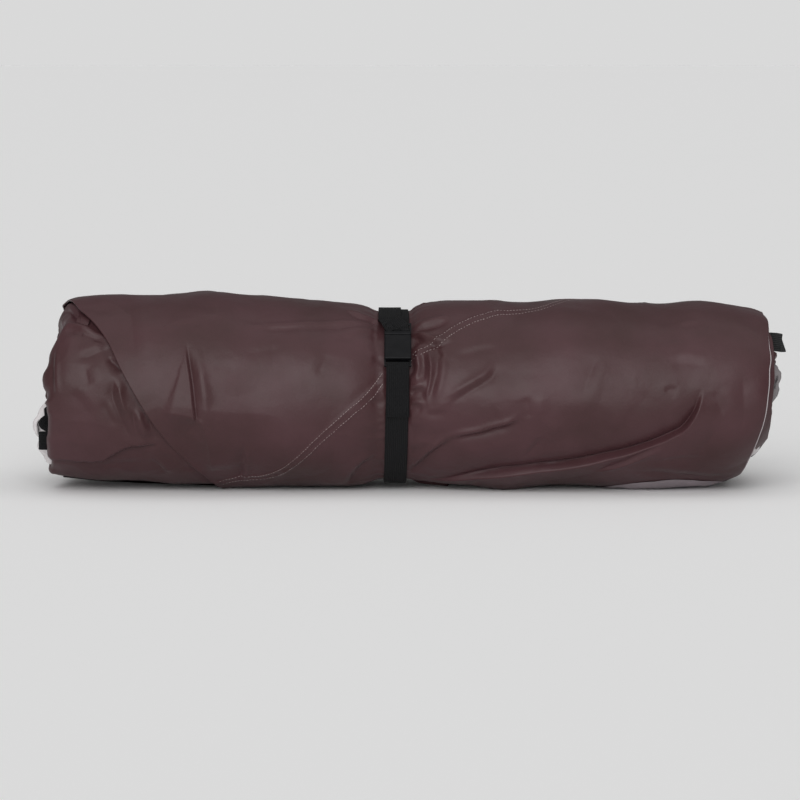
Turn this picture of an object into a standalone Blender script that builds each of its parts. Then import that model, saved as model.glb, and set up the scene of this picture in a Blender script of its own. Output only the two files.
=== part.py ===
"""A cabin tent packed as a roll: the folded tent body wound up, held at the waist by a webbing strap.

Metres, +Z up, +X along the roll. The origin is on the ground under the middle of the roll.
Angles run round the roll: 0 faces the front (-Y), 90 is the top, 180 the back and -90 the underside.
A share is a distance from the roll's axis, where 1 is the outer face of the outer wrap.
"""

import math

import bmesh
import bpy
import numpy as np
from mathutils import Matrix, Vector

MM = 0.001

# Driving sizes
WEBBING_WIDTH = 25 * MM
WEBBING_THICKNESS = 1.5 * MM
LOOP_WEBBING_WIDTH = 20 * MM
TOUCH = 0.3 * MM
STRAP_X = -13 * MM
STRAP_SLANT = 4 * MM
FLATTENING = 5 * MM
FLAP_SHARE = 1.024
TURN_STEPS = 28

# x, top, bottom and half depth of the roll, from its left end to its right
SECTIONS = np.array(
    (
        (-0.398, 0.172, 0.014, 0.085),
        (-0.383, 0.206, 0.009, 0.104),
        (-0.345, 0.2135, 0.003, 0.111),
        (-0.235, 0.2185, 0.0, 0.117),
        (-0.150, 0.2135, 0.0, 0.115),
        (-0.088, 0.210, 0.0, 0.112),
        (-0.052, 0.2055, 0.002, 0.109),
        (-0.036, 0.195, 0.009, 0.101),
        (0.003, 0.195, 0.009, 0.101),
        (0.024, 0.208, 0.003, 0.109),
        (0.060, 0.2115, 0.0, 0.113),
        (0.140, 0.2075, 0.0, 0.115),
        (0.215, 0.2105, 0.0, 0.1155),
        (0.290, 0.2065, 0.0, 0.114),
        (0.345, 0.2075, 0.005, 0.111),
        (0.375, 0.203, 0.022, 0.105),
        (0.390, 0.199, 0.038, 0.097),
        (0.399, 0.192, 0.056, 0.088),
    )
)

# The wound middle of the roll: x, top, bottom and half depth
CORE_SECTIONS = np.array(
    (
        (-0.402, 0.158, 0.030, 0.074),
        (-0.383, 0.180, 0.0295, 0.084),
        (0.345, 0.180, 0.0295, 0.084),
        (0.399, 0.172, 0.066, 0.070),
    )
)
CORE_AXIS_HEIGHT = 0.102
CORE_SHARE = 0.14
TURNS = 5
TURN_PITCH = (1 - CORE_SHARE) / TURNS

# Share of one turn's thickness taken by each layer of the folded tent
WALL_LAYER = (0.0, 0.58)
FLOOR_LAYER = (0.62, 0.77)
LINING_LAYER = (0.81, 0.96)

# Where each wrap starts and ends round the roll; the slit between its ends is a few millimetres
SLIT_ANGLE = -90
SLIT_HALF = 1.0
OUTER_WRAP_SHARES = (0.974, 1.0)
UNDER_WRAP_SHARES = (0.944, 0.971)
INNER_WRAP_SHARE = 0.941

# The outer wrap's slanting left edge, as x and height on the front
FLAP_EDGE = (
    (-0.3920, 0.222),
    (-0.3700, 0.203),
    (-0.3488, 0.183),
    (-0.3354, 0.164),
    (-0.3220, 0.135),
    (-0.3108, 0.114),
    (-0.2985, 0.093),
    (-0.2829, 0.069),
    (-0.2673, 0.047),
    (-0.2517, 0.031),
    (-0.2293, 0.0145),
    (-0.2100, -0.020),
)

# The tail flap's free edge, as x and height on the front, and how many steps it reaches behind and in front
TAIL_EDGE = (
    (-0.3200, 0.008),
    (0.0200, 0.009),
    (0.0700, 0.011),
    (0.1170, 0.016),
    (0.1640, 0.0235),
    (0.2130, 0.032),
    (0.2460, 0.038),
    (0.2750, 0.051),
    (0.3060, 0.067),
    (0.3186, 0.083),
    (0.3253, 0.104),
    (0.3280, 0.160),
)
TAIL_STEPS = (-4, 8)

# Buckle, in millimetres along the strap (up the front) and out from the roll
BUCKLE_ANGLE = 39.0
BUCKLE_HALF_WIDTH = 14.75
SOCKET_SPAN = (-18.0, 14.0)
SOCKET_HEIGHT = (0.6, 8.6)
ANCHOR_BAR = (-24.0, 3.6, 2.0)
LADDER_BAR = (24.0, 3.6, 1.8)
END_BAR = (30.5, 3.4, 1.6)
RAIL_WIDTH = 1.9

# The strap's loose tail: how far it drifts to the left, and its way over the ladder (along, out; millimetres)
TAIL_DRIFT = 9 * MM
TAIL_OVER_LADDER = ((28, 6.6), (32.5, 6.5), (36, 5.2))

BROWN = (0.077, 0.039, 0.042, 1)
GREY = (0.20, 0.19, 0.20, 1)
OFF_WHITE = (0.62, 0.60, 0.61, 1)
BLACK = (0.012, 0.012, 0.014, 1)


def clear_scene():
    for obj in list(bpy.data.objects):
        bpy.data.objects.remove(obj)


def material(name, colour, roughness):
    made = bpy.data.materials.new(name)
    made.use_nodes = True
    shader = made.node_tree.nodes["Principled BSDF"]
    shader.inputs["Base Color"].default_value = colour
    shader.inputs["Roughness"].default_value = roughness
    shader.inputs["Metallic"].default_value = 0.0
    return made


def add_object(name, mesh, finish=None):
    obj = bpy.data.objects.new(name, mesh)
    bpy.context.scene.collection.objects.link(obj)
    if finish:
        obj.data.materials.append(finish)
    return obj


def shade_round(obj, sharp_angle=40):
    obj.data.shade_smooth()
    obj.data.set_sharp_from_angle(angle=math.radians(sharp_angle))


def shell(name, inner, outer, finish):
    """A closed solid between two grids of points, where rows run along +X and columns run up the front."""
    rows, columns = len(outer), len(outer[0])
    made = bmesh.new()
    faces_of = []
    for grid in (outer, inner):
        faces_of.append([[made.verts.new(point) for point in row] for row in grid])
    over, under = faces_of
    for i in range(rows - 1):
        for j in range(columns - 1):
            made.faces.new((over[i][j], over[i][j + 1], over[i + 1][j + 1], over[i + 1][j]))
            made.faces.new((under[i][j], under[i + 1][j], under[i + 1][j + 1], under[i][j + 1]))
    for i in range(rows - 1):
        made.faces.new((over[i][0], over[i + 1][0], under[i + 1][0], under[i][0]))
        made.faces.new((over[i + 1][-1], over[i][-1], under[i][-1], under[i + 1][-1]))
    for j in range(columns - 1):
        made.faces.new((over[0][j + 1], over[0][j], under[0][j], under[0][j + 1]))
        made.faces.new((over[-1][j], over[-1][j + 1], under[-1][j + 1], under[-1][j]))
    bmesh.ops.recalc_face_normals(made, faces=made.faces)
    mesh = bpy.data.meshes.new(name)
    made.to_mesh(mesh)
    made.free()
    obj = add_object(name, mesh, finish)
    shade_round(obj)
    return obj


def roll_point(x, angle, share):
    """A point of the wrapped roll. Its underside is flat, and the tail flap's outer face meets the ground."""
    top, bottom, half_depth = (np.interp(x, SECTIONS[:, 0], SECTIONS[:, k]) for k in (1, 2, 3))
    half_height = (top - bottom + FLATTENING) / 2
    axis = top - half_height
    lowest = (axis - bottom) / FLAP_SHARE
    turn = math.radians(angle)
    rise = max(half_height * math.sin(turn), -lowest)
    return Vector((x, -share * half_depth * math.cos(turn), axis + share * rise))


def core_point(x, angle, share):
    """A point of the wound middle of the roll, whose underside is flat too."""
    top, bottom, half_depth = (np.interp(x, CORE_SECTIONS[:, 0], CORE_SECTIONS[:, k]) for k in (1, 2, 3))
    axis = CORE_AXIS_HEIGHT + (top + bottom - CORE_SECTIONS[1, 1] - CORE_SECTIONS[1, 2]) / 2
    turn = math.radians(angle)
    rise = max((top - axis) * math.sin(turn), bottom - axis)
    return Vector((x, -share * half_depth * math.cos(turn), axis + share * rise))


def wrap_angles():
    step = 360 / TURN_STEPS
    inside = [SLIT_ANGLE + step * k for k in range(1, TURN_STEPS)]
    return [SLIT_ANGLE + SLIT_HALF, *inside, SLIT_ANGLE + 360 - SLIT_HALF]


def wrap_stations(left, right):
    return [left, *(x for x in SECTIONS[:, 0] if left < x < right), right]


def make_wrap(name, left, right, shares, finish):
    angles, stations = wrap_angles(), wrap_stations(left, right)
    inner, outer = ([[roll_point(x, a, share) for a in angles] for x in stations] for share in shares)
    return shell(name, inner, outer, finish)


def cut_front(wrap, name, edge, past_the_end):
    """Cuts away the front of a wrap beyond an edge, which is closed through corners past the wrap's end."""
    made = bmesh.new()
    corners = [made.verts.new((x, -0.2, z)) for x, z in (*edge, *past_the_end)]
    face = made.faces.new(corners)
    pulled = bmesh.ops.extrude_face_region(made, geom=[face])["geom"]
    moved = [part for part in pulled if isinstance(part, bmesh.types.BMVert)]
    bmesh.ops.translate(made, verts=moved, vec=(0, 0.2 - 0.5 * MM, 0))
    bmesh.ops.recalc_face_normals(made, faces=made.faces)
    mesh = bpy.data.meshes.new(name)
    made.to_mesh(mesh)
    made.free()
    cut(wrap, helper(name, mesh))


def make_outer_wrap(finish):
    """The outermost lap. A slanting cutter takes away its front left corner."""
    wrap = make_wrap("outer_wrap", -0.387, SECTIONS[-1, 0], OUTER_WRAP_SHARES, finish)
    beyond = ((-0.45, FLAP_EDGE[-1][1]), (-0.45, FLAP_EDGE[0][1]))
    cut_front(wrap, "flap_cutter", FLAP_EDGE, beyond)
    return wrap


def make_tail_flap(finish):
    """The free end of the outer wrap. It comes under the roll from the back and rises up the front on the right."""
    stations = wrap_stations(TAIL_EDGE[0][0], 0.397)
    first, last = TAIL_STEPS
    angles = [SLIT_ANGLE + 360 / TURN_STEPS * k for k in range(first, last + 1)]
    inner, outer = ([[roll_point(x, a, share) for a in angles] for x in stations] for share in (1.003, FLAP_SHARE))
    flap = shell("tail_flap", inner, outer, finish)
    start = (-0.35, TAIL_EDGE[0][1])
    cut_front(flap, "tail_cutter", (start, *TAIL_EDGE), ((TAIL_EDGE[-1][0], 0.2), (-0.35, 0.2)))
    return flap


def turn_angle(turns):
    """The angle round the roll after so many turns; the last turn ends at the wraps' slit."""
    return SLIT_ANGLE + 360 * turns


def turn_share(turns):
    return CORE_SHARE + TURN_PITCH * turns


def make_inner_wrap(finish):
    """The padded lap between the wound middle and the two thin wraps. Its inner face follows the last turn."""
    left, right = -0.394, 0.396
    angles, stations = wrap_angles(), wrap_stations(left, right)
    clear = TOUCH / CORE_SECTIONS[1, 3]
    inner = [
        [core_point(x, a, turn_share(TURNS - 1 + (a - SLIT_ANGLE) / 360) + clear) for a in angles]
        for x in stations
    ]
    outer = [[roll_point(x, a, INNER_WRAP_SHARE) for a in angles] for x in stations]
    return shell("inner_wrap", inner, outer, finish)


def make_laps(name, layer, ends, finish):
    """One layer of the folded tent, wound round the core fold as a spiral."""
    steps = TURN_STEPS * (TURNS - 1)
    turns = [k / TURN_STEPS for k in range(steps + 1)]
    stations = [ends[0], *CORE_SECTIONS[1:3, 0], ends[1]]
    inner, outer = (
        [[core_point(x, turn_angle(t), turn_share(t + depth)) for t in turns] for x in stations]
        for depth in layer
    )
    return shell(name, inner, outer, finish)


def make_core_fold(finish):
    """The first tight fold that the tent is wound on. It fills the space inside the first lap."""
    made = bmesh.new()
    turns = [*(k / TURN_STEPS for k in range(TURN_STEPS)), 1 - 1 / 90]
    rings = []
    for x in (CORE_SECTIONS[0, 0] + 4 * MM, *CORE_SECTIONS[1:3, 0], 0.389):
        ring = [core_point(x, turn_angle(t), turn_share(t) - 0.006) for t in turns]
        rings.append([made.verts.new(point) for point in ring])
    for near, far in zip(rings, rings[1:]):
        for j in range(len(turns)):
            after = (j + 1) % len(turns)
            made.faces.new((near[j], near[after], far[after], far[j]))
    made.faces.new(rings[0])
    made.faces.new(rings[-1])
    bmesh.ops.recalc_face_normals(made, faces=made.faces)
    mesh = bpy.data.meshes.new("core_fold")
    made.to_mesh(mesh)
    made.free()
    shade_round(add_object("core_fold", mesh, finish))


def helper(name, mesh):
    obj = add_object(name, mesh)
    obj.hide_render = True
    obj.display_type = "WIRE"
    return obj


def combine(obj, other, operation):
    change = obj.modifiers.new(other.name, "BOOLEAN")
    change.operation = operation
    change.object = other


def cut(obj, cutter):
    combine(obj, cutter, "DIFFERENCE")


def join(obj, piece):
    combine(obj, piece, "UNION")


def box_mesh(name, low, high):
    made = bmesh.new()
    size = Vector(high) - Vector(low)
    middle = (Vector(high) + Vector(low)) / 2
    bmesh.ops.create_cube(made, size=1, matrix=Matrix.Translation(middle) @ Matrix.Diagonal((*size, 1)))
    mesh = bpy.data.meshes.new(name)
    made.to_mesh(mesh)
    made.free()
    return mesh


def bar_mesh(name, bar, half_width):
    """A round bar across the strap, from its place along the strap, its height and its radius."""
    along, height, radius = bar
    made = bmesh.new()
    place = Matrix.Translation((0, along * MM, height * MM)) @ Matrix.Rotation(math.pi / 2, 4, "Y")
    bmesh.ops.create_cone(
        made,
        cap_ends=True,
        segments=16,
        radius1=radius * MM,
        radius2=radius * MM,
        depth=2 * half_width * MM,
        matrix=place,
    )
    mesh = bpy.data.meshes.new(name)
    made.to_mesh(mesh)
    made.free()
    return mesh


def soften(obj, width):
    bevel = obj.modifiers.new("rounded_edges", "BEVEL")
    bevel.width = width
    bevel.segments = 2
    bevel.limit_method = "ANGLE"


def strap_point(angle, lift):
    """A point on the strap's path round the waist, a lift out from the outer wrap's face."""
    at = roll_point(STRAP_X, angle, 1)
    ahead = roll_point(STRAP_X, angle + 1, 1)
    behind = roll_point(STRAP_X, angle - 1, 1)
    along = (ahead - behind).normalized()
    out = Vector((0, -along.z, along.y))
    return at + out * lift


def buckle_frame():
    """An empty on the roll's face under the buckle: local +Y runs up the strap and +Z points out."""
    at = strap_point(BUCKLE_ANGLE, 0)
    out = (strap_point(BUCKLE_ANGLE, 1) - at).normalized()
    along = Vector((0, out.z, -out.y))
    frame = bpy.data.objects.new("buckle_frame", None)
    bpy.context.scene.collection.objects.link(frame)
    turned = Matrix((Vector((1, 0, 0)), along, out)).transposed().to_4x4()
    frame.matrix_world = Matrix.Translation(at) @ turned
    return frame


def millimetres(*values):
    return tuple(value * MM for value in values)


def on_buckle(obj, frame, helpers):
    for piece in (obj, *helpers):
        piece.parent = frame


def make_buckle_socket(frame, finish):
    """The buckle's outer half: a flat case, open above, with a window on each side and a bar for the webbing."""
    half, (start, end), (low, high) = BUCKLE_HALF_WIDTH, SOCKET_SPAN, SOCKET_HEIGHT
    case = box_mesh("buckle_socket", millimetres(-half, start, low), millimetres(half, end, high))
    socket = add_object("buckle_socket", case, finish)
    soften(socket, 1.4 * MM)
    mouth = box_mesh("mouth_cutter", millimetres(-11.8, -9, 2.3), millimetres(11.8, 16, 6.9))
    window_low, window_high = millimetres(-20, -5, 2.3), millimetres(20, 6, 6.9)
    window = box_mesh("window_cutter", window_low, window_high)
    cutters = [helper("mouth_cutter", mouth), helper("window_cutter", window)]
    for cutter in cutters:
        cut(socket, cutter)
    pieces = []
    for side in (-1, 1):
        inside, outside = sorted((side * half, side * (half - RAIL_WIDTH)))
        ends = millimetres(inside, ANCHOR_BAR[0] - 1, 2.0), millimetres(outside, start + 2, 5.4)
        pieces.append(helper(f"rail_{side}", box_mesh("rail", *ends)))
    pieces.append(helper("anchor_bar", bar_mesh("anchor_bar", ANCHOR_BAR, half - 0.1)))
    for piece in pieces:
        join(socket, piece)
    on_buckle(socket, frame, [*cutters, *pieces])


def make_buckle_plug(frame, finish):
    """The buckle's inner half: a ladder for the webbing, and two springy arms beside a guide."""
    half = BUCKLE_HALF_WIDTH
    start = SOCKET_SPAN[1] + 0.3
    shoulder = box_mesh("buckle_plug", millimetres(-half, start, 0.9), millimetres(half, 19.0, 8.2))
    plug = add_object("buckle_plug", shoulder, finish)
    soften(plug, 1.0 * MM)
    pieces = [
        helper("guide", box_mesh("guide", millimetres(-2, -7, 2.8), millimetres(2, 15.5, 6.4))),
        helper("ladder_bar", bar_mesh("ladder_bar", LADDER_BAR, half - 0.1)),
        helper("end_bar", bar_mesh("end_bar", END_BAR, half - 0.1)),
    ]
    for side in (-1, 1):
        inside, outside = sorted((side * half, side * (half - RAIL_WIDTH)))
        ends = millimetres(inside, 18.0, 1.9), millimetres(outside, END_BAR[0] + 1, 5.2)
        pieces.append(helper(f"ladder_rail_{side}", box_mesh("ladder_rail", *ends)))
        inside, outside = sorted((side * 7.5, side * 10.2))
        ends = millimetres(inside, -3, 2.8), millimetres(outside, 15.5, 6.4)
        pieces.append(helper(f"arm_{side}", box_mesh("arm", *ends)))
        inside, outside = sorted((side * 9.5, side * 13.2))
        ends = millimetres(inside, -4.2, 2.8), millimetres(outside, 4.6, 6.4)
        pieces.append(helper(f"catch_{side}", box_mesh("catch", *ends)))
    for piece in pieces:
        join(plug, piece)
    on_buckle(plug, frame, pieces)


def round_bar(frame, bar, first, last, steps):
    """Points round a bar at the webbing's mid-thickness; angles are measured from up the strap towards out."""
    along, height, radius = bar
    reach = radius * MM + TOUCH + WEBBING_THICKNESS / 2
    points = []
    for turn in np.radians(np.linspace(first, last, steps)):
        local = Vector((0, along * MM + reach * math.cos(turn), height * MM + reach * math.sin(turn)))
        points.append(frame.matrix_world @ local)
    return points


def ribbon(name, path, width, finish):
    """Webbing of even thickness along a path round the roll, which may drift along the roll as well."""
    half = WEBBING_THICKNESS / 2
    inner, outer = [], []
    for k, point in enumerate(path):
        before, after = path[max(k - 1, 0)], path[min(k + 1, len(path) - 1)]
        along = Vector((0, after.y - before.y, after.z - before.z)).normalized()
        out = Vector((0, -along.z, along.y))
        inner.append(point - out * half)
        outer.append(point + out * half)
    sides = (Vector((-width / 2, 0, 0)), Vector((width / 2, 0, 0)))
    grids = [[point + side for point in line] for line in (inner, outer) for side in sides]
    return shell(name, grids[:2], grids[2:], finish)


def over_tail(angle):
    """How far the tail flap lifts the strap off the outer wrap at an angle."""
    flap = (FLAP_SHARE - 1) * 0.1
    return np.interp(angle, (-155, -145, -70, -60), (0, flap, flap, 0))


def make_strap(frame, finish):
    """The strap: sewn round the socket's bar, round the waist, through the plug's ladder, and on as a loose tail."""
    lift = TOUCH + WEBBING_THICKNESS / 2
    doubled = lift + WEBBING_THICKNESS + TOUCH
    sewn_end = [strap_point(a, doubled) for a in np.arange(-7, 13.1, 5)]
    anchor = round_bar(frame, ANCHOR_BAR, 125, -125, 15)
    waist = [strap_point(a, lift + over_tail(a)) for a in np.arange(17, -294, -5)]
    for k, point in enumerate(waist):
        point.x -= STRAP_SLANT * math.sin(math.pi * k / (len(waist) - 1))
    ladder = round_bar(frame, LADDER_BAR, 270, 90, 11)
    tail = [frame.matrix_world @ Vector(millimetres(0, *at)) for at in TAIL_OVER_LADDER]
    tail += [strap_point(a, doubled) for a in np.arange(63, 149, 5)]
    for k, point in enumerate(tail):
        point.x -= TAIL_DRIFT * min((k + 1) / len(TAIL_OVER_LADDER), 1)
    return ribbon("strap_band", [*sewn_end, *anchor, *waist, *ladder, *tail], WEBBING_WIDTH, finish)


def make_peg_loop(name, at, reach, gap, lean, finish):
    """A short webbing loop that sticks out of the roll's end, its webbing standing on edge."""
    side = math.copysign(1, at[0])
    half = WEBBING_THICKNESS / 2
    radius = gap / 2 + half
    straight = reach - radius - half
    path = [(0, -radius), (straight, -radius)]
    path += [
        (straight + radius * math.sin(turn), -radius * math.cos(turn))
        for turn in np.linspace(0, math.pi, 9)[1:-1]
    ]
    path += [(straight, radius), (0, radius)]
    grids = []
    for offset in (-half, half):
        rows = []
        for level in (-LOOP_WEBBING_WIDTH / 2, LOOP_WEBBING_WIDTH / 2):
            row = []
            for k, (out, across) in enumerate(path):
                before, after = path[max(k - 1, 0)], path[min(k + 1, len(path) - 1)]
                along = Vector((after[0] - before[0], after[1] - before[1])).normalized()
                x = out - along.y * offset
                y = across + along.x * offset
                row.append((at[0] + side * (x - lean * level * x / reach), at[1] + y, at[2] + level))
            rows.append(row)
        grids.append(rows)
    return shell(name, grids[0], grids[1], finish)


def make_end_fold(name, at, reach, half_depth, half_height, finish):
    """A soft lobe of the folded tent that bulges out of the roll's end."""
    made = bmesh.new()
    side = math.copysign(1, at[0])
    bmesh.ops.create_uvsphere(made, u_segments=16, v_segments=8, radius=1)
    bmesh.ops.bisect_plane(
        made,
        geom=[*made.verts, *made.edges, *made.faces],
        plane_co=(0, 0, 0.001),
        plane_no=(0, 0, -1),
        clear_outer=True,
    )
    rim = [edge for edge in made.edges if edge.is_boundary]
    bmesh.ops.contextual_create(made, geom=rim)
    turned = Matrix.Rotation(side * math.pi / 2, 4, "Y")
    size = Matrix.Diagonal((reach, half_depth, half_height, 1))
    bmesh.ops.transform(made, verts=made.verts, matrix=Matrix.Translation(at) @ size @ turned)
    bmesh.ops.recalc_face_normals(made, faces=made.faces)
    mesh = bpy.data.meshes.new(name)
    made.to_mesh(mesh)
    made.free()
    obj = add_object(name, mesh, finish)
    shade_round(obj)


def main():
    clear_scene()
    tent_fabric = material("tent_fabric", BROWN, 0.42)
    floor_fabric = material("floor_fabric", GREY, 0.5)
    lining_fabric = material("lining_fabric", OFF_WHITE, 0.6)
    webbing = material("webbing", BLACK, 0.75)
    buckle_plastic = material("buckle_plastic", BLACK, 0.4)

    make_core_fold(tent_fabric)
    make_laps("tent_wall_laps", WALL_LAYER, (-0.400, 0.393), tent_fabric)
    make_laps("floor_sheet_laps", FLOOR_LAYER, (-0.397, 0.390), floor_fabric)
    make_laps("lining_laps", LINING_LAYER, (-0.402, 0.399), lining_fabric)
    make_inner_wrap(tent_fabric)
    make_wrap("under_wrap", SECTIONS[0, 0], 0.3975, UNDER_WRAP_SHARES, tent_fabric)
    make_outer_wrap(tent_fabric)
    make_tail_flap(tent_fabric)

    frame = buckle_frame()
    bpy.context.view_layer.update()
    make_buckle_socket(frame, buckle_plastic)
    make_buckle_plug(frame, buckle_plastic)
    make_strap(frame, webbing)

    make_peg_loop("peg_loop_right", (0.3993, -0.030, 0.1635), 14 * MM, 6 * MM, 0.35, webbing)
    make_peg_loop("peg_loop_left", (-0.4023, -0.060, 0.057), 9 * MM, 6 * MM, 0.0, webbing)
    left, right = -0.4023, 0.3993
    make_end_fold("lining_fold_left", (left, -0.040, 0.055), 14.5 * MM, 14 * MM, 34 * MM, lining_fabric)
    make_end_fold("wall_fold_left", (left, -0.045, 0.130), 8 * MM, 20 * MM, 34 * MM, tent_fabric)
    make_end_fold("floor_fold_right", (right, -0.032, 0.118), 11 * MM, 18 * MM, 32 * MM, floor_fabric)


main()
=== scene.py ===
"""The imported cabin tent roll: simulated fabric, webbing, stitching and folded ends over the CAD frame.

Lengths are in millimetres until a mesh is made. Angles run round the roll: 0 faces the front (-Y), 90 is the
top, 180 the back and -90 the underside. Folds on the front are placed by where they show in an 800 by 800
picture taken from the front.
"""

import math

import bpy
import numpy as np
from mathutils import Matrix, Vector


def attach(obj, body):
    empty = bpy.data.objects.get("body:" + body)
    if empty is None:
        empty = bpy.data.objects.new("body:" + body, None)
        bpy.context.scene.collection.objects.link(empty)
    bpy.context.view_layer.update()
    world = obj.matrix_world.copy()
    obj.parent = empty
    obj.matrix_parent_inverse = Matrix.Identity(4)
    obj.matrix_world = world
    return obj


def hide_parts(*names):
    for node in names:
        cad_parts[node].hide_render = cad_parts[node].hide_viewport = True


MM = 0.001

# The camera: how far it stands from the point it aims at, the size of a pixel there, and the picture's side
ELEVATION = math.radians(6)
DISTANCE = 4000.0
PIXEL = 1.116
PICTURE = 800
AIM = np.array((-10.6, 0.0, 95.6))

# Arc length round the roll is taken at this radius
ROUND = 112.0
# Where a sheet that goes once round starts and ends, on the underside, and by how many degrees it passes that
SLIT = -90.0
OVERLAP = 2.5
# How the plies and the cloth round the rim lie to the roll's outer face
INSIDE = -4.0

# The strap's webbing and its path, as in the CAD
STRAP_X = -13.0
WEBBING_WIDTH = 25.0
THICKNESS = 1.5
TOUCH = 0.3
STRAP_SLANT = 4.0
WAIST = (195.0, 9.0, 101.0)
FLATTENING = 5.0
FLAP_SHARE = 1.024
BUCKLE_ANGLE = 39.0
ANCHOR_BAR = (-24.0, 3.6, 2.0)
LADDER_BAR = (24.0, 3.6, 1.8)
TAIL_DRIFT = 9.0
TAIL_OVER_LADDER = ((28, 6.6), (32.5, 6.5), (36, 5.2))

# x, top, bottom and half depth of the roll
PROFILE = np.array((
    (-404, 180, 14, 90), (-391, 198, 10, 99), (-381, 208, 8.5, 104), (-368, 211, 6.5, 107), (-345, 212.5, 4, 111),
    (-323, 213.5, 3, 113), (-278, 214.5, 1.5, 115.5), (-234, 216.5, 0.5, 117), (-212, 216.5, 0.5, 117),
    (-200, 214.5, 1, 116.5), (-171, 211, 1, 115.5), (-144, 210, 0.5, 114.5), (-100, 207.5, 0, 113),
    (-64, 205.5, 1, 110.5), (-51, 203, 2.5, 108), (-43, 199.4, 5.5, 105.2), (-36, *WAIST), (1, *WAIST),
    (6, 201.5, 7.5, 105), (16, 205.8, 5.5, 108.5), (38, 208.5, 3, 111.5), (79, 208.5, 0.5, 113.5),
    (101, 206.5, 0, 114.5), (138, 204.5, 0, 115), (163, 207.5, 0.5, 115.3), (221, 207.5, 0.5, 115.3),
    (248, 205.5, 0, 115), (275, 203.3, 0.5, 114.5), (302, 205.5, 1.5, 114), (329, 205.5, 4, 112.5),
    (355, 204, 10, 110), (374, 200, 20, 106), (387, 197.5, 29, 102), (394, 194.5, 40, 98), (402, 189, 62, 91),
))


def smooth(values, sigma):
    """Gaussian smoothing of evenly spaced values, with the ends held."""
    reach = int(sigma * 3) + 1
    kernel = np.exp(-0.5 * (np.arange(-reach, reach + 1) / sigma) ** 2)
    padded = np.pad(values, reach, mode="edge")
    return np.convolve(padded, kernel / kernel.sum(), mode="valid")


def unit(vectors):
    return vectors / (np.linalg.norm(vectors, axis=-1, keepdims=True) + 1e-12)


def cubic(a, b, c, d, t):
    """The smooth curve between b and c, at a share of the way."""
    return 0.5 * (2 * b + (c - a) * t + (2 * a - 5 * b + 4 * c - d) * t**2 + (3 * b - a - 3 * c + d) * t**3)


def lengths_along(line):
    return np.append(0, np.cumsum(np.linalg.norm(np.diff(line, axis=0), axis=1)))


def dense_profile():
    xs = np.arange(-425, 426, 1.0)
    rows = [np.interp(xs, PROFILE[:, 0], PROFILE[:, k]) for k in (1, 2, 3)]
    near = np.exp(-(((xs - STRAP_X) / 34) ** 4))
    return xs, [smooth(r, 7) * (1 - near) + smooth(r, 2.5) * near for r in rows]


DENSE_X, DENSE = dense_profile()


def section(x):
    """Axis height, half height, half depth and bottom of the roll at x."""
    top, bottom, depth = (np.interp(x, DENSE_X, row) for row in DENSE)
    half = (top - bottom + FLATTENING) / 2
    return top - half, half, depth, bottom


def base(x, angle, off=0.0, share=1.0):
    """Points of the roll's smooth shape, at an offset from its outer face, or at a share of the way from its axis."""
    axis, half, depth, bottom = section(x)
    turn = np.radians(angle)
    y = -(depth + off) * np.cos(turn) * share
    rise, floor = (half + off) * np.sin(turn), bottom - axis - off
    z = axis + 0.5 * (rise + floor + np.sqrt((rise - floor) ** 2 + 9)) * share
    return np.stack(np.broadcast_arrays(x, y, z), axis=-1)


def seen(points):
    """Picture points on the front of the roll as x and arc length, on a smooth curve."""
    px, py = np.reshape(np.array(points, float), (-1, 2)).T
    tilt, level = math.sin(ELEVATION), math.cos(ELEVATION)
    near = np.full(px.shape, 100.0)
    for _ in range(5):
        scale = PIXEL * (DISTANCE - near) / DISTANCE
        x = AIM[0] + (px - PICTURE / 2) * scale
        height = AIM[2] * level + (PICTURE / 2 - py) * scale
        axis, half, depth, _ = section(x)
        rise, lean = half * level, depth * tilt
        share = np.clip((height - axis * level) / np.hypot(rise, lean), -0.999, 0.999)
        angle = np.arctan2(lean, rise) + np.arcsin(share)
        place = base(x, np.degrees(angle))
        near = -place[:, 1] * level + (place[:, 2] - AIM[2]) * tilt
    return catmull(np.column_stack([x, angle * ROUND]), 5)


def catmull(points, steps):
    """A smooth curve through the points."""
    points = np.asarray(points, float)
    ends = np.vstack([2 * points[0] - points[1], points, 2 * points[-1] - points[-2]])
    shares = np.linspace(0, 1, steps, endpoint=False)
    made = [cubic(*ends[k : k + 4], t) for k in range(len(ends) - 3) for t in shares]
    return np.array([*made, points[-1]])


def near_line(x, w, line, reach):
    """Where the points lie within a reach of a curve: their distance, positive on its left, and the share passed."""
    (low_x, low_w), (high_x, high_w) = line.min(0) - reach, line.max(0) + reach
    inside = (x > low_x) & (x < high_x) & (w > low_w) & (w < high_w)
    x, w = x[inside], w[inside]
    best, side, share = np.full(x.shape, 1e9), np.zeros(x.shape), np.zeros(x.shape)
    passed = lengths_along(line)
    steps = np.diff(passed)
    for k in range(len(line) - 1):
        (ax, aw), (bx, bw) = line[k], line[k + 1]
        dx, dw = bx - ax, bw - aw
        t = ((x - ax) * dx + (w - aw) * dw) / (dx * dx + dw * dw)
        held = np.clip(t, 0, 1)
        far = np.hypot(x - ax - held * dx, w - aw - held * dw)
        closer = far < best
        best = np.where(closer, far, best)
        side = np.where(closer, np.sign(dx * (w - aw) - dw * (x - ax)), side)
        share = np.where(closer, (passed[k] + held * steps[k]) / passed[-1], share)
    return inside, best * side, share


def fade(t, start, end):
    """Rises from 0 at start to 1 at end, smoothly."""
    t = np.clip((t - start) / (end - start), 0, 1)
    return t * t * (3 - 2 * t)


def taper(t, start=0.3, stop=0.7):
    """1 on the middle of a line, and fading to 0 at its ends."""
    return fade(t, 0, start) * (1 - fade(t, stop, 1))


def decay(d, reach):
    return np.exp(-np.maximum(d, 0) / reach)


def hump(d, width):
    return np.exp(-((d / width) ** 2))


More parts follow.
